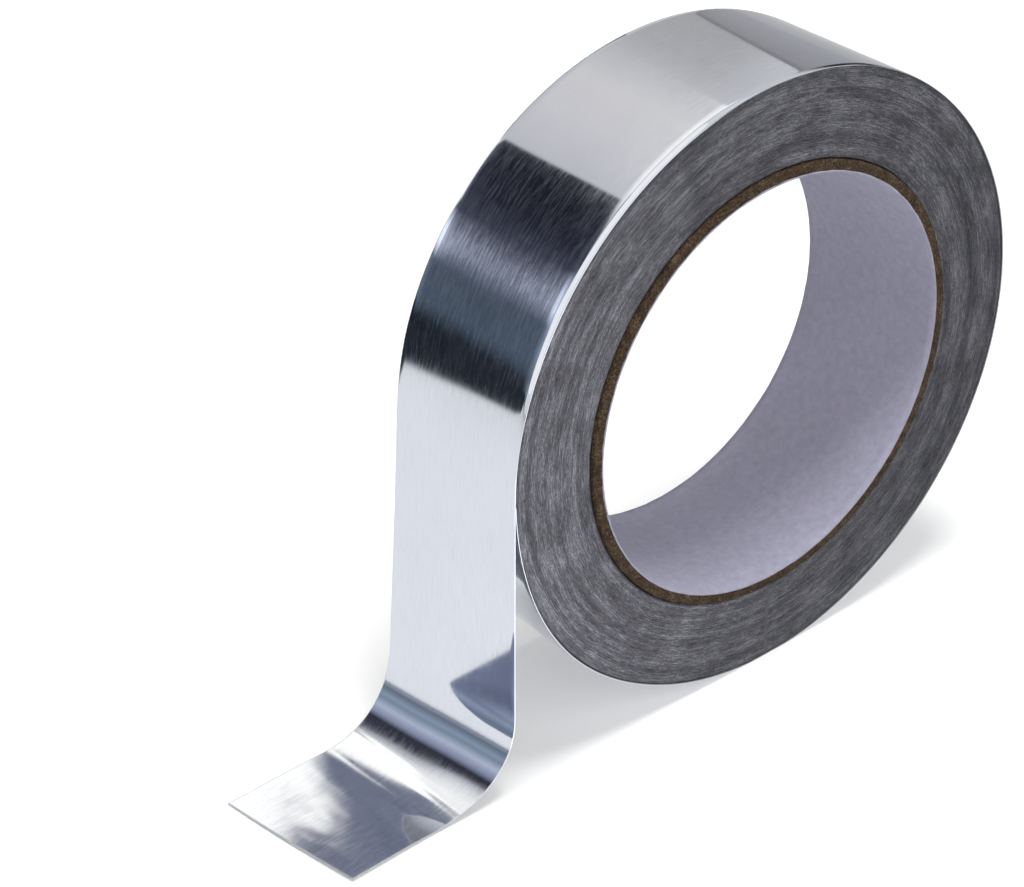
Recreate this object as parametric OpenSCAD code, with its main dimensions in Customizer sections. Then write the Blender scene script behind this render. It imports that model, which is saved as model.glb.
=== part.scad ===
// Roll of aluminium foil tape, standing on its rim with its loose end on the floor as a foot.
// +Z is up, the roll's axis runs along Y and the loose end runs towards -X.
// The origin is the middle of the small flat that the roll rests on.

/* [Tape] */
// Width of the tape
tape_w = 30; // [20:1:60]
// Thickness of one layer, foil and adhesive together
tape_t = 0.1; // [0.06:0.01:0.16]
// Build-up of all the turns on the core
wound_t = 15.5; // [8:0.5:30]
// Rounding where the outer turns' edges are rubbed over
rim_round = 1.2; // [0.4:0.1:2]
// Width of the flat where the wound tape yields on the floor
rest_flat_w = 8; // [4:1:12]

/* [Turns] */
// Turns that stand together as one band on the side faces
band_turns = 14; // [6:1:20]
// How far the bands are wound out of line with each other
band_shift = 0.2; // [0.05:0.01:0.3]
// Depth of the groove between two bands
groove_depth = 0.18; // [0.05:0.01:0.3]

/* [Core] */
// Inside diameter of the core
bore_d = 76; // [60:1:90]
// Thickness of the pale paper that lines the core
lining_t = 0.3; // [0.2:0.05:0.6]
// Wall of the brown board tube
tube_wall = 1.7; // [1:0.1:4]
// How far the core stands out of the tape at each side
core_proud = 0.4; // [0:0.1:1]
// Softened edge of the board tube
tube_edge = 0.2; // [0.1:0.05:0.4]
// Glue line between lining and tube, and between tube and first turn
glue_gap = 0.02; // [0:0.01:0.05]

/* [Loose end] */
// Lean of the hanging stretch away from the roll, in degrees
hang_lean = 4.5; // [0:0.5:10]
// Radius where the tape turns onto the floor
foot_bend_r = 8.5; // [4:0.5:14]
// Length that lies flat on the floor, along its middle
foot_l = 25; // [10:1:40]
// Slant of the cut end, in degrees
end_slant = 9; // [0:1:15]

/* [Hidden] */
// Steps in the rounding of the rim
rim_steps = 3;
// Angle from one band to the next in the pattern of their shifts, in degrees
band_phase = 137;
// Steps in the bend of the foot
bend_steps = 12;
// How far the last layer lies below the roll's surface where it starts to leave it
layer_dip = 0.02;
// Reach of a cutting block past what it cuts
cut_past = 2;
$fn = 96;

bore_r = bore_d / 2;
tube_in_r = bore_r + lining_t + glue_gap;
tube_out_r = tube_in_r + tube_wall;
wound_in_r = tube_out_r + glue_gap;
roll_r = wound_in_r + wound_t;
// Height of the roll's axis above the floor
axis_z = sqrt(roll_r * roll_r - rest_flat_w * rest_flat_w / 4);
core_l = tape_w + 2 * core_proud;

band_n = round(wound_t / (band_turns * tape_t));
band_pitch = (wound_t - rim_round) / band_n;

// The underside of the hanging stretch touches a circle in the roll and the bend's circle below
hang_r = roll_r - tape_t - layer_dip;
hang_l = (axis_z + hang_r * sin(hang_lean) - foot_bend_r * (1 - sin(hang_lean))) / cos(hang_lean);
bend_x = -(hang_r + foot_bend_r) * cos(hang_lean) - hang_l * sin(hang_lean);
foot_end_x = bend_x - foot_l - tape_w / 2 * tan(end_slant);

// Half width of the winding at the crest of band i: a turn that stands out at one side sits in at the other
function crest(i, side) = tape_w / 2 - band_shift * (1 - side * sin(band_phase * i)) / 2;

// One side face from the core to the rim, as points of radius and distance from the middle
function side_face(side) = concat(
    [for (i = [0 : band_n - 1])
        for (half = [0, 1])
            [wound_in_r + (i + half / 2) * band_pitch, crest(i, side) - groove_depth * (1 - half)]],
    [for (k = [0 : rim_steps])
        let (turned = 90 * k / rim_steps)
            [roll_r - rim_round * (1 - sin(turned)), tape_w / 2 - rim_round * (1 - cos(turned))]]
);

function other_side(points) = [for (i = [len(points) - 1 : -1 : 0]) [points[i][0], -points[i][1]]];

// Turns a shape about Z into one about the roll's axis
module on_axis() {
    translate([0, 0, axis_z])
        rotate([90, 0, 0])
            children();
}

module tube(inner_r, outer_r, length, edge) {
    on_axis()
        rotate_extrude()
            polygon([
                [inner_r, -length / 2],
                [outer_r - edge, -length / 2],
                [outer_r, -length / 2 + edge],
                [outer_r, length / 2 - edge],
                [outer_r - edge, length / 2],
                [inner_r, length / 2]
            ]);
}

module winding() {
    difference() {
        on_axis()
            rotate_extrude()
                polygon(concat(side_face(1), other_side(side_face(-1))));
        translate([-roll_r, -tape_w, -roll_r])
            cube([2 * roll_r, 2 * tape_w, roll_r]);
    }
}

// Edge view of the loose end from the roll down to the foot's end. The bright side faces away from
// the roll and then up, on the inside of the bend.
function along_bend(radius) = [
    for (k = [0 : bend_steps])
        let (turned = hang_lean + (90 - hang_lean) * k / bend_steps)
            [bend_x + radius * cos(turned), foot_bend_r - radius * sin(turned)]
];

function hang_top(radius) = [-radius * cos(hang_lean), axis_z + radius * sin(hang_lean)];

module loose_end_outline() {
    underside = concat([hang_top(hang_r)], along_bend(foot_bend_r), [[foot_end_x, 0]]);
    bright_side = concat([hang_top(hang_r + tape_t)], along_bend(foot_bend_r - tape_t), [[foot_end_x, tape_t]]);
    polygon(concat(underside, [for (i = [len(bright_side) - 1 : -1 : 0]) bright_side[i]]));
}

module loose_end() {
    cut_w = 2 * tape_w;
    difference() {
        rotate([90, 0, 0])
            linear_extrude(tape_w, center = true)
                loose_end_outline();
        translate([bend_x - foot_l, 0, -cut_past])
            rotate(end_slant)
                translate([-cut_w, -cut_w / 2, 0])
                    cube([cut_w, cut_w, 2 * cut_past]);
    }
}

module foil_tape() {
    color([0.76, 0.78, 0.81]) {
        winding();
        loose_end();
    }
}

module core_tube() {
    color([0.48, 0.36, 0.27])
        tube(tube_in_r, tube_out_r, core_l, tube_edge);
}

module core_lining() {
    color([0.72, 0.71, 0.80])
        tube(bore_r, bore_r + lining_t, core_l, 0);
}

foil_tape();
core_tube();
core_lining();
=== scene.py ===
"""Roll of aluminium foil tape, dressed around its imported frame. Lengths are in metres."""

import math

import bpy
import numpy as np
from mathutils import Matrix, Vector

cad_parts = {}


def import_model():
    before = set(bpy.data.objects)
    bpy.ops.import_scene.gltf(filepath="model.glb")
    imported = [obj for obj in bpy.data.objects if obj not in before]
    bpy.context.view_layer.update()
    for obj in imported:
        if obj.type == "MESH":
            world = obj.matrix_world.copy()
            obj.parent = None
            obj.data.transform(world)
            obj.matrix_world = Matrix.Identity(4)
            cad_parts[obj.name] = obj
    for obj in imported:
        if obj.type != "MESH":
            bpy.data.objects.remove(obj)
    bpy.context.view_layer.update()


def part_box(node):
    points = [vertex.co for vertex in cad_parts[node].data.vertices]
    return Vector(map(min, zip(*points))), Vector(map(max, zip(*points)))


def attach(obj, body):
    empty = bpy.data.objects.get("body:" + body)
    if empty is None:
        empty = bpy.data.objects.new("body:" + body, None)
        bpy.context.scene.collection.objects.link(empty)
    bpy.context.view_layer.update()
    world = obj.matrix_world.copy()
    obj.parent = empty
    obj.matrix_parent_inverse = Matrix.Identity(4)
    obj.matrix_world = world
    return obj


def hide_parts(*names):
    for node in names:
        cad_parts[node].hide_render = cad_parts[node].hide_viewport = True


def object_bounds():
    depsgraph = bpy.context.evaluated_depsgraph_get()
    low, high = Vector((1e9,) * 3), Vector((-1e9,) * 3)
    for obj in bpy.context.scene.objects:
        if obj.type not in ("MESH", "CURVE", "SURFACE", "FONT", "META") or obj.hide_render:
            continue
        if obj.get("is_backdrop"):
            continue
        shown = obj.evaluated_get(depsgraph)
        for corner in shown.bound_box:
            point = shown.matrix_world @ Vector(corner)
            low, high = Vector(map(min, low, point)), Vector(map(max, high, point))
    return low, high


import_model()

# Sizes that the frame gives
core_low, core_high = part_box("core_tube")
lining_low, lining_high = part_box("core_lining")
tape_low, tape_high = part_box("foil_tape")
AXIS_Z = (core_low.z + core_high.z) / 2
TUBE_OUT_R = (core_high.x - core_low.x) / 2
LINING_OUT_R = (lining_high.x - lining_low.x) / 2
CORE_HALF = (core_high.y - core_low.y) / 2
ROLL_R = tape_high.z - AXIS_Z
HALF_W = (tape_high.y - tape_low.y) / 2

# Sizes that are finer than the frame's boxes
TAPE_T = 0.0001
LINING_T = 0.0003
GLUE_GAP = 0.00002
RIM_ROUND = 0.00105

# How much the outermost turn stands out of the frame's round shape, in radius and at the back edge
SWELL = 0.0002
BACK_OUT = 0.0006
OUT_R = ROLL_R + SWELL


def value_noise(u, v, cells_u, cells_v, seed):
    """Smooth noise from -1 to 1 on u and v from 0 to 1, which repeats in u."""
    lattice = np.random.default_rng(seed).uniform(-1, 1, (cells_u, cells_v + 2))
    x = np.asarray(u, float) % 1 * cells_u
    y = np.clip(np.asarray(v, float), 0, 1) * cells_v
    i, j = np.floor(x).astype(int), np.floor(y).astype(int)
    fx, fy = x - i, y - j
    sx, sy = fx * fx * (3 - 2 * fx), fy * fy * (3 - 2 * fy)
    i, i_next = i % cells_u, (i + 1) % cells_u
    low = lattice[i, j] * (1 - sx) + lattice[i_next, j] * sx
    high = lattice[i, j + 1] * (1 - sx) + lattice[i_next, j + 1] * sx
    return low * (1 - sy) + high * sy


def smoothstep(low, high, x):
    t = np.clip((np.asarray(x, float) - low) / (high - low), 0, 1)
    return t * t * (3 - 2 * t)


def grid_faces(rows, columns, wrap_rows=False, wrap_columns=False):
    """Quads over a grid of points stored row by row."""
    r = np.arange(rows if wrap_rows else rows - 1)
    c = np.arange(columns if wrap_columns else columns - 1)
    r, c = np.meshgrid(r, c, indexing="ij")
    r_next, c_next = (r + 1) % rows, (c + 1) % columns
    quads = [r * columns + c, r_next * columns + c, r_next * columns + c_next, r * columns + c_next]
    return np.stack(quads, -1).reshape(-1, 4)


def mesh_object(name, points, faces, uv, materials, material_index=None):
    """A smooth shaded mesh with a UV map called Tape."""
    mesh = bpy.data.meshes.new(name)
    mesh.from_pydata(points.reshape(-1, 3).tolist(), [], faces.tolist())
    layer = mesh.uv_layers.new(name="Tape")
    corners = np.array([loop.vertex_index for loop in mesh.loops])
    layer.data.foreach_set("uv", uv.reshape(-1, 2)[corners].astype(np.float32).ravel())
    for material in materials:
        mesh.materials.append(material)
    if material_index is not None:
        mesh.polygons.foreach_set("material_index", material_index.astype(np.int32))
    mesh.polygons.foreach_set("use_smooth", np.ones(len(mesh.polygons), bool))
    mesh.update()
    mesh.validate()
    made = bpy.data.objects.new(name, mesh)
    bpy.context.scene.collection.objects.link(made)
    return made


class Shader:
    """A material's node tree, with short ways to add and join nodes."""

    def __init__(self, name):
        self.material = bpy.data.materials.new(name)
        self.material.use_nodes = True
        self.nodes = self.material.node_tree.nodes
        self.links = self.material.node_tree.links
        self.principled = self.nodes["Principled BSDF"]

    def add(self, kind, settings=None, **inputs):
        node = self.nodes.new(kind)
        for key, value in (settings or {}).items():
            setattr(node, key, value)
        for key, value in inputs.items():
            self.put(node.inputs[key.replace("_", " ")], value)
        return node

    def put(self, socket, value):
        if isinstance(value, bpy.types.NodeSocket):
            self.links.new(value, socket)
        else:
            socket.default_value = value

    def set(self, **inputs):
        for key, value in inputs.items():
            self.put(self.principled.inputs[key.replace("_", " ")], value)

    def tape_coordinates(self, scale):
        uv = self.add("ShaderNodeUVMap", {"uv_map": "Tape"})
        return self.add("ShaderNodeMapping", Vector=uv.outputs[0], Scale=scale).outputs[0]

    def noise(self, vector, scale=1.0, detail=2.0, roughness=0.5):
        settings = {"Scale": scale, "Detail": detail, "Roughness": roughness}
        return self.add("ShaderNodeTexNoise", Vector=vector, **settings).outputs[0]

    def weigh(self, value, factor, offset):
        """value * factor + offset, where the offset may be another value."""
        node = self.add("ShaderNodeMath", {"operation": "MULTIPLY_ADD"})
        self.put(node.inputs[0], value)
        node.inputs[1].default_value = factor
        self.put(node.inputs[2], offset)
        return node.outputs[0]

    def spread(self, value, low, high, to_low, to_high):
        node = self.add("ShaderNodeMapRange", Value=value)
        for index, number in zip((1, 2, 3, 4), (low, high, to_low, to_high)):
            node.inputs[index].default_value = number
        return node.outputs[0]

    def ramp(self, value, stops):
        node = self.add("ShaderNodeValToRGB", Fac=value)
        elements = node.color_ramp.elements
        for _ in stops[2:]:
            elements.new(0.5)
        for element, (place, colour) in zip(elements, stops):
            element.position = place
            element.color = (*colour, 1)
        return node.outputs[0]

    def bump(self, height, distance, strength=1.0, normal=None):
        node = self.add("ShaderNodeBump", Height=height, Distance=distance, Strength=strength)
        if normal is not None:
            self.put(node.inputs["Normal"], normal)
        return node.outputs[0]

    def tangent(self):
        return self.add("ShaderNodeTangent", {"direction_type": "UV_MAP", "uv_map": "Tape"}).outputs[0]


def bright_foil():
    """Rolled foil: sharp along the tape, blurred across it, with fine streaks along its length."""
    s = Shader("bright_foil")
    streaks = s.noise(s.tape_coordinates((2300, 230, 1)), detail=3.0, roughness=0.62)
    fine = s.noise(s.tape_coordinates((6000, 800, 1)), detail=2.0)
    clouds = s.noise(s.tape_coordinates((90, 60, 1)), detail=3.0)
    both = s.weigh(streaks, 0.7, s.weigh(fine, 0.3, 0.0))
    grooves = s.noise(s.tape_coordinates((1100, 70, 1)), detail=1.0)
    colour = s.ramp(clouds, [(0.3, (0.585, 0.61, 0.665)), (0.7, (0.605, 0.63, 0.685))])
    s.set(
        Base_Color=colour,
        Metallic=s.spread(both, 0.46, 0.66, 1.0, 0.95),
        Roughness=s.spread(both, 0.42, 0.64, 0.05, 0.08),
        Anisotropic=1.0,
        Tangent=s.tangent(),
        Normal=s.bump(grooves, 0.0000015, 1.0),
    )
    return s.material


def adhesive_side():
    """The tape's underside: foil under a dull film of adhesive."""
    s = Shader("adhesive_side")
    film = s.noise(s.tape_coordinates((700, 500, 1)), detail=3.0)
    s.set(
        Base_Color=s.ramp(film, [(0.3, (0.27, 0.275, 0.29)), (0.7, (0.35, 0.355, 0.37))]),
        Metallic=0.35,
        Roughness=0.5,
        Normal=s.bump(film, 0.00001, 1.0),
    )
    return s.material


def cut_edges():
    """The side faces: edges of many layers, dull and streaked round the roll."""
    s = Shader("cut_edges")
    streaks = s.noise(s.tape_coordinates((420, 4600, 1)), detail=3.0, roughness=0.7)
    grain = s.noise(s.tape_coordinates((1700, 5200, 1)), detail=2.0, roughness=0.6)
    bands = s.noise(s.tape_coordinates((14, 900, 1)), detail=2.0, roughness=0.6)
    clouds = s.noise(s.tape_coordinates((110, 330, 1)), detail=2.0)
    tone = s.weigh(streaks, 0.5, s.weigh(grain, 0.3, s.weigh(bands, 0.25, s.weigh(clouds, 0.25, -0.15))))
    stops = [(0.37, (0.022, 0.022, 0.026)), (0.5, (0.073, 0.074, 0.085)), (0.67, (0.26, 0.26, 0.285))]
    s.set(
        Base_Color=s.ramp(tone, stops),
        Metallic=0.5,
        Roughness=s.spread(tone, 0.4, 0.65, 0.6, 0.42),
        Normal=s.bump(tone, 0.00008, 1.0),
    )
    return s.material


def kraft_board():
    """Brown board tube, cut and fibrous."""
    s = Shader("kraft_board")
    coordinates = s.add("ShaderNodeTexCoord").outputs["Object"]
    fibres = s.noise(coordinates, 2400.0, 4.0, 0.7)
    blotches = s.noise(coordinates, 500.0, 2.0)
    tone = s.weigh(fibres, 0.75, s.weigh(blotches, 0.25, 0.0))
    stops = [(0.34, (0.012, 0.008, 0.005)), (0.5, (0.06, 0.04, 0.024)), (0.68, (0.19, 0.13, 0.085))]
    s.set(
        Base_Color=s.ramp(tone, stops),
        Roughness=0.95,
        Specular_IOR_Level=0.15,
        Normal=s.bump(tone, 0.00018, 1.0),
    )
    return s.material


def lining_paper():
    """Pale lavender-grey paper with faint fibres and a few specks."""
    s = Shader("lining_paper")
    coordinates = s.add("ShaderNodeTexCoord").outputs["Object"]
    mottle = s.noise(coordinates, 700.0, 4.0, 0.6)
    cloud = s.noise(coordinates, 60.0, 2.0)
    specks = s.add("ShaderNodeTexVoronoi", Vector=coordinates, Scale=330.0).outputs[0]
    base = s.ramp(mottle, [(0.3, (0.375, 0.368, 0.47)), (0.7, (0.46, 0.45, 0.555))])
    clouded = s.add("ShaderNodeMix", {"data_type": "RGBA", "blend_type": "MULTIPLY"})
    clouded.inputs[0].default_value = 1.0
    s.put(clouded.inputs[6], base)
    s.put(clouded.inputs[7], s.ramp(cloud, [(0.3, (0.95, 0.95, 0.95)), (0.7, (1.0, 1.0, 1.0))]))
    specked = s.add("ShaderNodeMix", {"data_type": "RGBA"})
    s.put(specked.inputs[0], s.spread(specks, 0.03, 0.07, 0.35, 0.0))
    s.put(specked.inputs[6], clouded.outputs[2])
    specked.inputs[7].default_value = (0.24, 0.2, 0.26, 1)
    s.set(
        Base_Color=specked.outputs[2],
        Roughness=0.85,
        Specular_IOR_Level=0.25,
        Normal=s.bump(mottle, 0.00003, 0.8),
    )
    return s.material


def on_axis(radius, angle, y):
    """Points at a radius and an angle about the roll's axis. Angle 0 is +X and a quarter turn is up."""
    y = np.broadcast_to(y, radius.shape)
    return np.stack([radius * np.cos(angle), y, AXIS_Z + radius * np.sin(angle)], -1)


def closed_profile(name, profile, segments, materials, material_of, displace, lowest=None):
    """Turns a closed outline of (radius, y) about the roll's axis. displace gives shifts of radius and y."""
    profile = np.array(profile, float)
    u = np.arange(segments) / segments
    angle = (-0.25 + u) * math.tau
    shift_r, shift_y = displace(u[:, None], profile)
    radius = profile[None, :, 0] + shift_r
    y = profile[None, :, 1] + shift_y
    points = on_axis(radius, np.broadcast_to(angle[:, None], radius.shape), y)
    if lowest is not None:
        points[..., 2] = np.maximum(points[..., 2], lowest)
    along = np.concatenate([[0], np.cumsum(np.linalg.norm(np.diff(profile, axis=0), axis=1))])
    uv = np.stack(np.broadcast_arrays(u[:, None] * math.tau * ROLL_R, along[None, :]), -1)
    faces = grid_faces(segments, len(profile), wrap_rows=True, wrap_columns=True)
    index = np.tile(np.array(material_of), segments)
    return mesh_object(name, points, faces, uv, materials, index)


def rubbed(degrees):
    """How far the front edge is rubbed over, from 0 to 1, at an angle about the axis in degrees."""
    a = np.asarray(degrees, float) % 360
    return 0.2 + 0.8 * smoothstep(88, 110, a) * (1 - smoothstep(148, 172, a))


def winding(materials):
    """All the turns under the outermost one: a ring with the layers' edges on both side faces."""
    segments, side_steps, rim_steps = 400, 84, 6
    under_r = OUT_R - TAPE_T
    rounding = RIM_ROUND - TAPE_T
    side_r = np.linspace(TUBE_OUT_R + GLUE_GAP, under_r - rounding, side_steps)
    turned = np.linspace(0, math.pi / 2, rim_steps + 1)[1:]
    rim_r = under_r - rounding * (1 - np.sin(turned))
    rim_in = rounding * (1 - np.cos(turned))
    front_y, back_y = -(HALF_W - TAPE_T), HALF_W + BACK_OUT - TAPE_T
    front = [(r, front_y) for r in side_r] + [(r, front_y + i) for r, i in zip(rim_r, rim_in)]
    back = [(r, back_y) for r in side_r] + [(r, back_y - 0.3 * i) for r, i in zip(rim_r, rim_in)]
    profile = front + back[::-1]
    kind = [1] * (side_steps + rim_steps - 1) + [0] + [1] * (side_steps + rim_steps)
    rim_place = np.zeros(len(profile))
    rim_place[side_steps:side_steps + rim_steps] = np.arange(1, rim_steps + 1)

    def displace(u, points):
        r, y = points[None, :, 0], points[None, :, 1]
        depth = (r - side_r[0]) / (side_r[-1] - side_r[0])
        on_side = (depth > 0) & (depth <= 1)
        sway = np.zeros_like(depth * u)
        for cells_u, cells_r, size, seed in ((5, 12, 0.00006, 1), (14, 30, 0.00004, 2), (60, 60, 0.00003, 3)):
            sway += size * value_noise(u + 0.6 * depth, depth, cells_u, cells_r, seed)
        near_core = -0.0004 * np.exp(-(((r - side_r[0]) / 0.00022) ** 2))
        shift_y = sway * on_side + near_core * np.where(y < 0, -1, 1)
        full = rubbed((u - 0.25) * 360)
        square_r = side_r[-1] + (under_r - side_r[-1]) * rim_place / rim_steps
        on_rim = rim_place[None, :] > 0
        shift_r = np.where(on_rim, (1 - full) * (square_r[None, :] - r), 0)
        shift_y = shift_y + np.where(on_rim, (1 - full) * (front_y - y), 0)
        return shift_r, shift_y

    return closed_profile("foil_winding", profile, segments, materials, kind, displace, TAPE_T)


# The loose end at the tape's front and back edge: its lean, the bend's length, how late the bend tightens
# and how softly it ends, the height and the width of the foot's edges, and the place of its cut end
LEAN = (math.radians(2.1), math.radians(5.9))
BEND_LENGTH = (0.026, 0.024)
BEND_EASE = (1.05, 1.35)
BEND_SOFTEN = (1.4, 1.3)
FOOT_RISE = (0.0006, 0.0001)
FOOT_END_X = (-0.0910, -0.0956)
FOOT_END_SHIFT = -0.0004
FOOT_NARROW = 0.035
CURL = math.radians(57)


def strip(materials):
    """The outermost turn and the loose end: one thin strip, from the foot's end to where it meets itself."""
    foot_n, bend_n, hang_n, wrap_n = 60, 80, 50, 420
    flat_n, curl_n = 26, 7
    flat_y = np.linspace(-(HALF_W - RIM_ROUND), HALF_W - RIM_ROUND, flat_n)
    curl_d = np.linspace(0, RIM_ROUND, curl_n + 1)[1:]
    width = np.concatenate([flat_y[0] - curl_d[::-1], flat_y, flat_y[-1] + curl_d])
    v = (width + HALF_W) / (2 * HALF_W)
    hang_r = OUT_R - TAPE_T

    def across(pair):
        return pair[0] + (pair[1] - pair[0]) * v

    lean, ease, bend_length, rise = across(LEAN), across(BEND_EASE), across(BEND_LENGTH), across(FOOT_RISE)
    top = np.stack([-hang_r * np.cos(lean), AXIS_Z + hang_r * np.sin(lean)], -1)
    fine = np.linspace(0, 1, 400)[:, None]
    soften = across(BEND_SOFTEN)

    def slope_at(t):
        return lean + (math.pi / 2 - lean) * (1 - (1 - t ** ease) ** soften)

    slope = slope_at(fine)
    drop = np.concatenate([0 * lean[None], np.cumsum((np.cos(slope[1:]) + np.cos(slope[:-1])) / 2, 0) / 399])
    run = np.concatenate([0 * lean[None], np.cumsum((np.sin(slope[1:]) + np.sin(slope[:-1])) / 2, 0) / 399])
    drop, run = drop * bend_length, run * bend_length
    hang_l = (top[:, 1] - drop[-1] - rise) / np.cos(lean)
    low = top + hang_l[:, None] * np.stack([-np.sin(lean), -np.cos(lean)], -1)
    foot_x = low[:, 0] - run[-1]
    end_x = across(FOOT_END_X) - 0.0003 * np.sin(v * math.pi)
    foot_l = (foot_x - end_x).mean()
    bend_l = foot_l + bend_length.mean()
    roll_l = bend_l + hang_l.mean()

    xs, zs, nxs, nzs, lengths, front_curl, back_curl, narrow, shift = [], [], [], [], [], [], [], [], []

    def row(x, z, nx, nz, length, front, back, foot=0.0):
        xs.append(x)
        zs.append(z)
        nxs.append(nx * np.ones_like(width))
        nzs.append(nz * np.ones_like(width))
        lengths.append(length * np.ones_like(width))
        front_curl.append(front)
        back_curl.append(back)
        narrow.append(foot)
        shift.append(0.0)

    for t in np.linspace(0, 1, foot_n, endpoint=False):
        x = end_x + (foot_x - end_x) * t
        row(x, rise, 0.0, 1.0, foot_l * t, 0.0, 0.0, 1.0)
        shift[-1] = FOOT_END_SHIFT * (1 - t)
    for t in np.linspace(1, 0, bend_n, endpoint=False):
        place = t * 399
        i = min(int(place), 398)
        f = place - i
        p = low[:, 0] - (run[i] * (1 - f) + run[i + 1] * f)
        q = low[:, 1] - (drop[i] * (1 - f) + drop[i + 1] * f)
        s = slope_at(t)
        row(p, q, -np.cos(s), np.sin(s), bend_l - bend_length.mean() * t, 0.0, 0.0, float(smoothstep(0.2, 1, t)))
    for t in np.linspace(0, 1, hang_n, endpoint=False):
        p = low + (top - low) * t
        row(p[:, 0], p[:, 1], -np.cos(lean), np.sin(lean), bend_l + hang_l.mean() * t, 0.1, 0.05)
    sweep = math.radians(359)
    start = math.pi - lean
    for t in np.linspace(0, 1, wrap_n):
        a = start - sweep * t
        degrees = math.degrees(a.mean())
        radius = hang_r - TAPE_T * t
        near_front = np.clip(0.9 - 1.2 * v, 0, 1)
        loose_low = 0.00045 * np.sin(np.clip((math.degrees(sweep * t) - 292) / 62, 0, 1) * math.pi) ** 2
        loose_top = 0.00014 * np.sin(np.clip((degrees - 52) / 40, 0, 1) * math.pi) ** 2
        radius = radius + (loose_low + loose_top) * near_front
        row(radius * np.cos(a), AXIS_Z + radius * np.sin(a), np.cos(a), np.sin(a),
            roll_l + hang_r * sweep * t, float(rubbed(degrees)), 0.12)

    length = np.array(lengths)
    normal_x, normal_z = np.array(nxs), np.array(nzs)
    curled = np.where(width[None, :] < 0, np.array(front_curl)[:, None], np.array(back_curl)[:, None])
    past = np.clip(np.abs(width) - (HALF_W - RIM_ROUND), 0, None)[None, :]
    full = np.maximum(CURL * curled, 1e-5)
    angle = past / RIM_ROUND * full
    turn_r = RIM_ROUND / full
    y = np.sign(width) * (np.minimum(np.abs(width), HALF_W - RIM_ROUND)[None, :] + turn_r * np.sin(angle))
    on_roll = smoothstep(roll_l - 0.03, roll_l + 0.02, length)
    y = y + BACK_OUT * v[None, :] * on_roll
    y = y * (1 - FOOT_NARROW * np.array(narrow)[:, None]) + np.array(shift)[:, None]
    inward = turn_r * (1 - np.cos(angle))
    lean_y = np.sign(width) * np.sin(angle)

    lift = foil_lift(length, width, bend_l, foot_l, roll_l)
    direction = np.stack([normal_x * np.cos(angle), lean_y, normal_z * np.cos(angle)], -1)
    under = np.stack([np.array(xs) - normal_x * inward, y, np.array(zs) - normal_z * inward], -1)
    under += direction * lift[..., None]
    bright = under + direction * TAPE_T
    lowest = np.array([0, TAPE_T])
    bright[..., 2] = np.where(length > roll_l, np.maximum(bright[..., 2], lowest[0]), bright[..., 2])
    under[..., 2] = np.where(length > roll_l, np.maximum(under[..., 2], lowest[1]), np.maximum(under[..., 2], 0))
    sheet = np.concatenate([bright, under[:, ::-1]], axis=1)
    across_uv = np.concatenate([width, width[::-1]])
    along_uv = np.concatenate([length, length[:, ::-1]], axis=1)
    uv = np.stack([np.broadcast_to(across_uv, sheet.shape[:2]), along_uv], -1)
    faces = grid_faces(sheet.shape[0], sheet.shape[1], wrap_columns=True)[:, ::-1]
    n = len(width)
    count = sheet.shape[1]

    def cap(r, flip):
        base = r * count
        quads = [[base + i, base + i + 1, base + count - 2 - i, base + count - 1 - i] for i in range(n - 1)]
        return [q[::-1] for q in quads] if flip else quads

    under_side = np.tile([0] * n + [1] * (n - 1) + [0], sheet.shape[0] - 1)
    kind = np.concatenate([under_side, np.zeros(2 * (n - 1), int)])
    faces = np.concatenate([faces, cap(0, False), cap(sheet.shape[0] - 1, True)])
    return mesh_object("foil_strip", sheet, faces, uv, materials, kind)


def foil_lift(length, width, bend_l, foot_l, roll_l):
    """How far the foil stands off its plain path: waves in the foot, creases by the bend, faint waves elsewhere."""
    u = length / 0.5
    v = (width[None, :] + HALF_W) / (2 * HALF_W) + 0 * u
    on_roll = smoothstep(roll_l, roll_l + 0.02, length)
    on_foot = 1 - smoothstep(foot_l - 0.004, foot_l + 0.001, length)
    lift = 0.000006 * value_noise(u, v, 60, 3, 11) * on_roll
    lift = lift + 0.00004 * value_noise(u, v, 40, 3, 12) * (1 - on_roll) * (1 - on_foot)
    waves = 0.00006 + 0.00003 * value_noise(u, v, 60, 3, 13) + 0.000005 * value_noise(u, v, 300, 20, 14)
    lift = lift + on_foot * waves
    for place, size in ((0.0058, 0.00002), (0.0074, 0.000016)):
        lift = lift + size * np.exp(-(((length - foot_l - place) / 0.0004) ** 2))
    return lift


def ragged(amount, cells, seed):
    def displace(u, points):
        along = np.arange(len(points))[None, :] / len(points)
        return (
            amount * value_noise(u, along, cells, len(points), seed),
            amount * value_noise(u, along, cells, len(points), seed + 1),
        )
    return displace


def board_tube(material):
    """The board tube, with fibrous cut ends."""
    inner, outer, half, edge = LINING_OUT_R + GLUE_GAP, TUBE_OUT_R, CORE_HALF, 0.0002
    end_r = np.linspace(inner, outer - edge, 7)
    front = [(r, -half) for r in end_r] + [(outer - edge * 0.3, -half + edge * 0.3), (outer, -half + edge)]
    profile = front + [(r, -y) for r, y in reversed(front)]
    made = closed_profile("board_tube", profile, 720, [material], [0] * len(profile), ragged(0.00006, 240, 21))
    return made


def paper_lining(material):
    """The pale paper inside the tube."""
    inner, outer, half = LINING_OUT_R - LINING_T, LINING_OUT_R, CORE_HALF
    along = np.linspace(-half, half, 24)
    profile = [(outer, -half + 0.00002)] + [(inner, y) for y in along] + [(outer, half - 0.00002)]
    profile = profile[::-1]
    return closed_profile("paper_lining", profile, 360, [material], [0] * len(profile), ragged(0.000025, 120, 31))


foil, edges, board, paper = bright_foil(), cut_edges(), kraft_board(), lining_paper()

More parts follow.
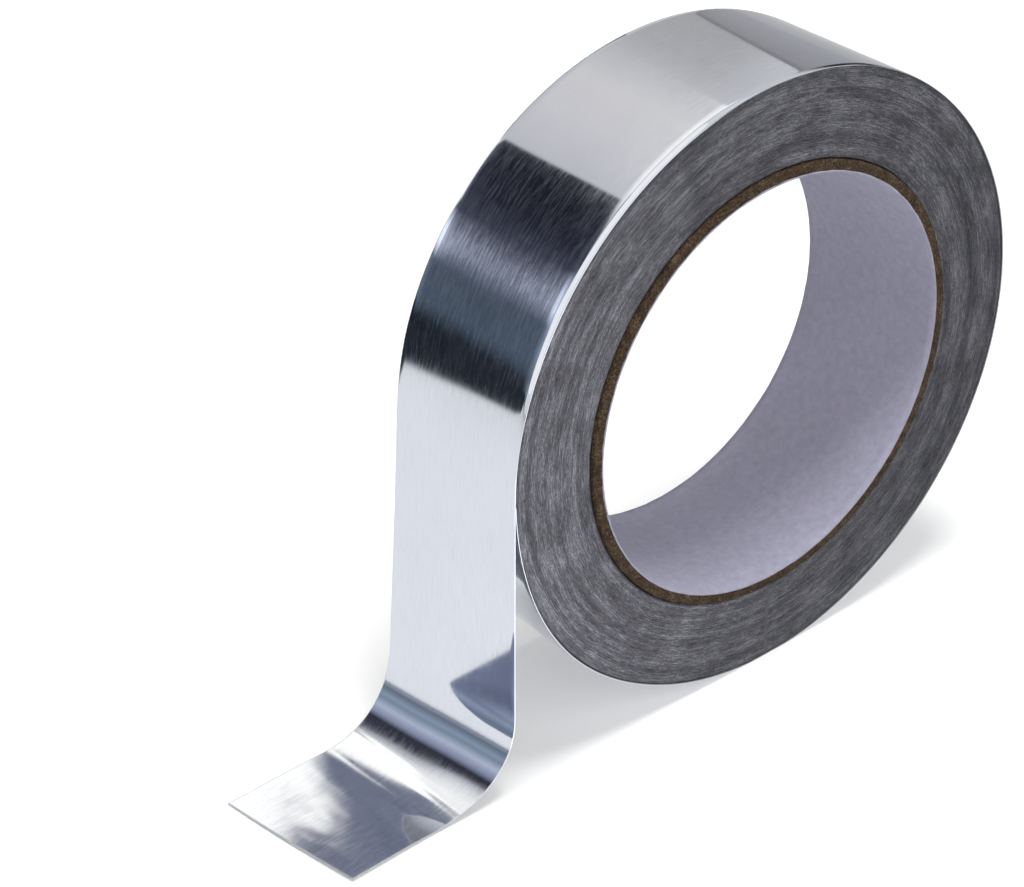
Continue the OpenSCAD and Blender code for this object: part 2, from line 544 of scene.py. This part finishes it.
roll = winding([foil, edges])
tape = strip([foil, adhesive_side()])
for piece in (roll, tape):
    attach(piece, "root")
    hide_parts("foil_tape")

tube = board_tube(board)
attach(tube, "root")
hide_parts("core_tube")

lining = paper_lining(paper)
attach(lining, "root")
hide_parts("core_lining")


# What the foil mirrors: a curved backdrop about the roll's axis, which only reflections see.
# Angles are in degrees from +X upwards.
BACKDROP_R = 1.5
BACKDROP_Y = (1.262, 1.5)
BACKDROP = (
    (-30, (0.76, 0.755, 0.75)),
    (0, (0.5, 0.5, 0.51)),
    (24, (0.54, 0.53, 0.52)),
    (45, (0.61, 0.59, 0.58)),
    (56, (0.72, 0.7, 0.69)),
    (73, (0.95, 0.91, 0.88)),
    (90, (0.92, 0.88, 0.86)),
    (100, (0.84, 0.81, 0.82)),
    (109.1, (0.77, 0.75, 0.765)),
    (109.4, (0.013, 0.015, 0.028)),
    (120, (0.006, 0.007, 0.015)),
    (130, (0.014, 0.016, 0.03)),
    (137, (0.045, 0.048, 0.075)),
    (144.5, (0.06, 0.066, 0.098)),
    (147.5, (0.13, 0.14, 0.19)),
    (150.5, (0.175, 0.19, 0.25)),
    (154, (0.12, 0.14, 0.19)),
    (160, (0.08, 0.105, 0.14)),
    (172, (0.08, 0.11, 0.15)),
    (178, (0.018, 0.025, 0.035)),
    (184, (0.012, 0.017, 0.024)),
)

# The part of the backdrop that only the bend mirrors
BEND_BACKDROP_Y = (0.76, 1.15)
BEND_BACKDROP = (
    (-30, (0.04, 0.04, 0.042)),
    (22, (0.04, 0.04, 0.042)),
    (36, (0.85, 0.83, 0.82)),
    (108.9, (0.85, 0.83, 0.83)),
    (112, (0.03, 0.031, 0.045)),
    (124, (0.03, 0.031, 0.045)),
    (135, (0.04, 0.043, 0.062)),
    (139, (0.22, 0.245, 0.34)),
    (141.5, (0.33, 0.365, 0.49)),
    (146.5, (0.46, 0.5, 0.65)),
    (152, (0.62, 0.68, 0.82)),
    (157.5, (0.45, 0.52, 0.63)),
    (162, (0.29, 0.37, 0.47)),
    (167, (0.37, 0.46, 0.58)),
    (172, (0.25, 0.31, 0.39)),
    (175.5, (0.2, 0.24, 0.31)),
    (179, (0.4, 0.44, 0.51)),
    (181.2, (0.37, 0.41, 0.47)),
)

# White in front of it, with an edge that runs a little aslant
BEND_WHITE_Y = (0.85, 1.21)
BEND_WHITE_LOW = (60, 60)
BEND_WHITE_HIGH = (133, 112)
BEND_WHITE = (
    (0, (1.5, 1.46, 1.36)),
    (0.7, (1.5, 1.46, 1.36)),
    (0.88, (1.2, 1.18, 1.14)),
    (1, (0.72, 0.73, 0.76)),
)

# Strips beside the roll's backdrop, which only its streaks pick up
STREAK_STRIPS = ((0.5, 0.76), (1.15, 1.262), (1.5, 2.4))
STREAK_STRIP = (
    (-30, (0.8, 0.8, 0.8)),
    (108.9, (0.8, 0.8, 0.8)),
    (109.4, (0.09, 0.092, 0.13)),
    (138, (0.1, 0.105, 0.15)),
    (147, (1.4, 1.48, 1.7)),
    (152, (1.4, 1.48, 1.7)),
    (158, (0.16, 0.2, 0.26)),
    (174, (0.16, 0.21, 0.27)),
    (180, (0.03, 0.04, 0.055)),
    (184, (0.01, 0.014, 0.02)),
)

# Panels in front that only the front rim mirrors: bright over the left of the roll, dark over its right
RIM_GLOW_Y = (-1.5, 0.5)
RIM_GLOW_ANGLES = (80, 175)
RIM_GLOW_TONE = (1.35, 1.33, 1.3)
RIM_DARK_Y = (-1.5, 0.5)
RIM_DARK_ANGLES = (-28, 22)
RIM_DARK_TONE = (0.03, 0.03, 0.032)


def unseen(made):
    """Leaves a stage piece to the reflections alone."""
    for ray in ("camera", "diffuse", "transmission", "volume_scatter", "shadow"):
        setattr(made, "visible_" + ray, False)
    made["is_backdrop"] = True


def ramp_emission(name, stops, low, high, strength=1.0):
    s = Shader(name)
    uv = s.add("ShaderNodeUVMap", {"uv_map": "Tape"}).outputs[0]
    place = s.add("ShaderNodeSeparateXYZ", Vector=uv).outputs[0]
    colour = s.ramp(place, [((stop - low) / (high - low), tone) for stop, tone in stops])
    light = s.add("ShaderNodeEmission", Color=colour, Strength=strength)
    s.links.new(light.outputs[0], s.nodes["Material Output"].inputs[0])
    return s.material


def curved_panel(name, radius, rows, y_pair, material, low_edge, high_edge):
    """A panel about the roll's axis. Its edges may lie at other angles at its two ends."""
    t = np.linspace(0, 1, rows)[:, None]
    low_edge, high_edge = np.array(low_edge)[None, :], np.array(high_edge)[None, :]
    angle = np.radians(low_edge + (high_edge - low_edge) * t)
    y = np.broadcast_to(np.array(y_pair)[None, :], angle.shape)
    points = np.stack([radius * np.cos(angle), y, AXIS_Z + radius * np.sin(angle)], -1)
    uv = np.stack([np.broadcast_to(t, angle.shape), y], -1)
    unseen(mesh_object(name, points, grid_faces(rows, 2), uv, [material]))


def plain_panel(name, tone, y_pair, low, high):
    """A curved panel of one tone."""
    material = ramp_emission(name, ((0, tone), (1, tone)), 0, 1)
    curved_panel(name, BACKDROP_R, 24, y_pair, material, (low, low), (high, high))


def ramp_panel(name, ramp, y_pair):
    """A curved panel that spans the angles of its ramp."""
    low, high = ramp[0][0], ramp[-1][0]
    curved_panel(name, BACKDROP_R, 120, y_pair, ramp_emission(name, ramp, low, high), (low, low), (high, high))


ramp_panel("backdrop", BACKDROP, BACKDROP_Y)
ramp_panel("bend_backdrop", BEND_BACKDROP, BEND_BACKDROP_Y)
for strip_y in STREAK_STRIPS:
    ramp_panel("streak_strip", STREAK_STRIP, strip_y)
curved_panel(
    "bend_white", BACKDROP_R - 0.02, 40, BEND_WHITE_Y,
    ramp_emission("bend_white", BEND_WHITE, 0, 1),
    BEND_WHITE_LOW, BEND_WHITE_HIGH,
)
plain_panel("rim_glow", RIM_GLOW_TONE, RIM_GLOW_Y, *RIM_GLOW_ANGLES)
plain_panel("rim_dark", RIM_DARK_TONE, RIM_DARK_Y, *RIM_DARK_ANGLES)

# A darker screen on the right, whose upper edge runs aslant over the roll's top
SCREEN_TOP = (31.0, 4.0)
SCREEN_Y = (1.11, 1.48)
SCREEN = (
    (0.0, (0.76, 0.755, 0.75)),
    (0.2, (0.56, 0.59, 0.6)),
    (0.5, (0.46, 0.46, 0.49)),
    (0.82, (0.42, 0.42, 0.43)),
    (0.95, (0.38, 0.38, 0.39)),
    (1.0, (0.24, 0.24, 0.25)),
)
curved_panel(
    "screen", BACKDROP_R - 0.03, 40, SCREEN_Y,
    ramp_emission("screen", SCREEN, 0, 1),
    (-31, -31), SCREEN_TOP,
)

# A grey card on the floor at the right, below the screen
RIGHT_CARD = (
    (0.0, (0.8, 0.8, 0.8)),
    (0.04, (0.62, 0.62, 0.63)),
    (0.15, (0.53, 0.53, 0.54)),
    (1.0, (0.48, 0.48, 0.49)),
)
RIGHT_CARD_X = (0.17, 2.0)
RIGHT_CARD_Y = (0.05, 2.0)


def floor_card(name, ramp, x_pair, y_pair, slant):
    """A card on the floor with a ramp along X, sheared by slant times its Y."""
    (x0, x1), (y0, y1) = x_pair, y_pair
    points = np.array([[[x + slant * y, y, 0.0004] for y in (y0, y1)] for x in (x0, x1)])
    uv = np.array([[[0, 0], [0, 1]], [[1, 0], [1, 1]]], float)
    low, high = ramp[0][0], ramp[-1][0]
    unseen(mesh_object(name, points, grid_faces(2, 2), uv, [ramp_emission(name, ramp, low, high)]))


floor_card("right_card", RIGHT_CARD, RIGHT_CARD_X, RIGHT_CARD_Y, 0.0)

# The same studio for views from behind: two dark bands
FRONT_BANDS = ((38, 66, 0.03), (8, 28, 0.14))
for low, high, level in FRONT_BANDS:
    plain_panel("front_band", (level, level, level * 1.15), (-3.0, -0.72), low, high)


# Far floor: dark beyond a line that runs aslant behind the roll
FLOOR_LINE = ((-0.139, 0.154), (-0.63, 0.417))
FLOOR_TONES = (
    (0.0, (1.0, 1.0, 1.0)),
    (0.003, (0.9, 0.9, 0.9)),
    (0.0075, (0.36, 0.37, 0.39)),
    (0.0125, (0.07, 0.078, 0.09)),
    (0.022, (0.02, 0.027, 0.038)),
    (1.0, (0.013, 0.018, 0.026)),
)
FLOOR_DEPTH = 1.2


def far_floor():
    a, b = (np.array([*p, 0.0004]) for p in FLOOR_LINE)
    along = (b - a) / np.linalg.norm(b - a)
    beyond = np.array([along[1], -along[0], 0]) * -1
    if beyond[1] < 0:
        beyond = -beyond
    first, last = a - along * 0.05, b + along * 2.0
    points = np.array([[first, last], [first + beyond * FLOOR_DEPTH, last + beyond * FLOOR_DEPTH]])
    uv = np.array([[[0, 0], [0, 1]], [[1, 0], [1, 1]]], float)
    material = ramp_emission("far_floor", FLOOR_TONES, 0, 1)
    unseen(mesh_object("far_floor", points, grid_faces(2, 2), uv, [material]))


far_floor()


# A card close behind the roll, low enough that only the foot and the bend mirror it
CARD_Y = 0.127
CARD_OUTLINE = (
    (-0.05, 0.09), (0.07, 0.09), (0.07, 0.177), (-0.058, 0.177),
    (-0.098, 0.154), (-0.098, 0.135), (-0.088, 0.115),
)
CARD_WHITE = (1.72, 1.67, 1.55)
CARD_GREY = (0.225, 0.246, 0.325)


def near_card():
    s = Shader("near_card")
    place = s.add("ShaderNodeTexCoord").outputs["Object"]
    wobble = s.noise(place, 60.0, 3.0)
    parts = s.add("ShaderNodeSeparateXYZ", Vector=place)
    x, z = parts.outputs[0], parts.outputs[2]

    right_of = s.weigh(x, 1.0, 0.0065)
    above = s.weigh(x, -0.75, s.weigh(z, 1.0, -0.1285))
    off_the_bend = s.weigh(x, 1.0, s.weigh(z, 0.61, -0.0567))
    nearer = s.add("ShaderNodeMath", {"operation": "MINIMUM"})
    s.put(nearer.inputs[0], above)
    s.put(nearer.inputs[1], off_the_bend)
    greater = s.add("ShaderNodeMath", {"operation": "MAXIMUM"})
    s.put(greater.inputs[0], right_of)
    s.put(greater.inputs[1], nearer.outputs[0])
    edge = s.weigh(wobble, 0.008, s.weigh(greater.outputs[0], 1.0, -0.004))
    mask = s.spread(edge, -0.003, 0.003, 0.0, 1.0)
    mottle = s.ramp(s.noise(place, 130.0, 3.0), [(0.35, (0.8, 0.8, 0.82)), (0.7, (1.25, 1.25, 1.22))])
    grey = s.add("ShaderNodeMix", {"data_type": "RGBA", "blend_type": "MULTIPLY"})
    grey.inputs[0].default_value = 1.0
    grey.inputs[6].default_value = (*CARD_GREY, 1)
    s.put(grey.inputs[7], mottle)
    both = s.add("ShaderNodeMix", {"data_type": "RGBA"})
    s.put(both.inputs[0], mask)
    both.inputs[6].default_value = (*CARD_WHITE, 1)
    s.put(both.inputs[7], grey.outputs[2])
    light = s.add("ShaderNodeEmission", Color=both.outputs[2], Strength=1.0)
    s.links.new(light.outputs[0], s.nodes["Material Output"].inputs[0])
    points = np.array([(x, CARD_Y, z) for x, z in CARD_OUTLINE])
    corners = np.arange(len(points))[None, :]
    unseen(mesh_object("near_card", points, corners, np.zeros((len(points), 2)), [s.material]))


near_card()


def floor():
    s = Shader("pale_floor")
    path = s.add("ShaderNodeLightPath")
    seen = s.add("ShaderNodeMath", {"operation": "MAXIMUM"})
    s.put(seen.inputs[0], path.outputs["Is Camera Ray"])
    s.put(seen.inputs[1], path.outputs["Is Glossy Ray"])
    diffuse = s.add("ShaderNodeBsdfDiffuse", Color=(0.8, 0.8, 0.8, 1))
    glow = s.add("ShaderNodeEmission", Color=(1, 1, 1, 1))
    strength = s.add("ShaderNodeMath", {"operation": "MULTIPLY"})
    s.put(strength.inputs[0], seen.outputs[0])
    strength.inputs[1].default_value = 0.27
    s.put(glow.inputs["Strength"], strength.outputs[0])
    both = s.add("ShaderNodeAddShader")
    s.links.new(diffuse.outputs[0], both.inputs[0])
    s.links.new(glow.outputs[0], both.inputs[1])
    s.links.new(both.outputs[0], s.nodes["Material Output"].inputs[0])
    size = 3.0
    points = np.array([[-size, -size, 0], [size, -size, 0], [size, size, 0], [-size, size, 0]], float)
    made = mesh_object("floor", points, np.array([[0, 1, 2, 3]]), np.zeros((4, 2)), [s.material])
    made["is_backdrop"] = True


floor()


def world():
    made = bpy.data.worlds.new("studio")
    bpy.context.scene.world = made
    made.use_nodes = True
    nodes, links = made.node_tree.nodes, made.node_tree.links
    path = nodes.new("ShaderNodeLightPath")
    first = nodes.new("ShaderNodeMath")
    second = nodes.new("ShaderNodeMath")
    for node in (first, second):
        node.operation = "MAXIMUM"
    links.new(path.outputs["Is Camera Ray"], first.inputs[0])
    links.new(path.outputs["Is Glossy Ray"], first.inputs[1])
    links.new(first.outputs[0], second.inputs[0])
    links.new(path.outputs["Is Transmission Ray"], second.inputs[1])
    level = nodes.new("ShaderNodeMapRange")
    links.new(second.outputs[0], level.inputs["Value"])
    level.inputs[3].default_value = 0.38
    level.inputs[4].default_value = 1.0
    background = nodes["Background"]
    background.inputs["Color"].default_value = (1, 1, 1, 1)
    links.new(level.outputs[0], background.inputs["Strength"])


world()


def lamp(name, place, aim, size, power):
    data = bpy.data.lights.new(name, "AREA")
    data.shape = "DISK"
    data.size = size
    data.energy = power
    made = bpy.data.objects.new(name, data)
    made.location = place
    made.rotation_euler = (Vector(aim) - Vector(place)).to_track_quat("-Z", "Y").to_euler()
    made.visible_glossy = False
    bpy.context.scene.collection.objects.link(made)


lamp("key", (0.05, -0.11, 1.25), (0, 0, 0.05), 0.42, 10.0)
lamp("fill", (-0.15, -0.9, 0.85), (0, 0, 0.05), 0.9, 4.0)


# A card on the floor in front, bright at its left and dim at its right, for the front side face
SIDE_CARD_X = (-0.25, 0.35)
SIDE_CARD_Y = (-0.45, -0.0165)
SIDE_CARD = (
    (-0.25, (2.5, 2.5, 2.62)),
    (-0.08, (2.3, 2.3, 2.42)),
    (-0.05, (1.5, 1.5, 1.58)),
    (-0.02, (0.9, 0.9, 0.95)),
    (0.02, (0.55, 0.55, 0.57)),
    (0.05, (0.38, 0.38, 0.39)),
    (0.35, (0.36, 0.36, 0.36)),
)
floor_card("side_card", SIDE_CARD, SIDE_CARD_X, SIDE_CARD_Y, -1.0)

CAMERA_AT = (-0.2629, -0.2792, 0.2845)
CAMERA_RIGHT = (0.7753, -0.6309, -0.0286)
CAMERA_DOWN = (-0.3606, -0.4049, -0.8402)


def camera():
    data = bpy.data.cameras.new("camera")
    data.sensor_width = 36
    data.lens = 92.1
    made = bpy.data.objects.new("camera", data)
    right = Vector(CAMERA_RIGHT).normalized()
    forward = Vector(CAMERA_DOWN).cross(right) * -1
    forward.normalize()
    up = right.cross(forward)
    made.matrix_world = Matrix.Translation(CAMERA_AT) @ Matrix((right, up, -forward)).transposed().to_4x4()
    bpy.context.scene.collection.objects.link(made)
    bpy.context.scene.camera = made


camera()
bpy.context.scene.view_settings.view_transform = "Standard"

low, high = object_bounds()
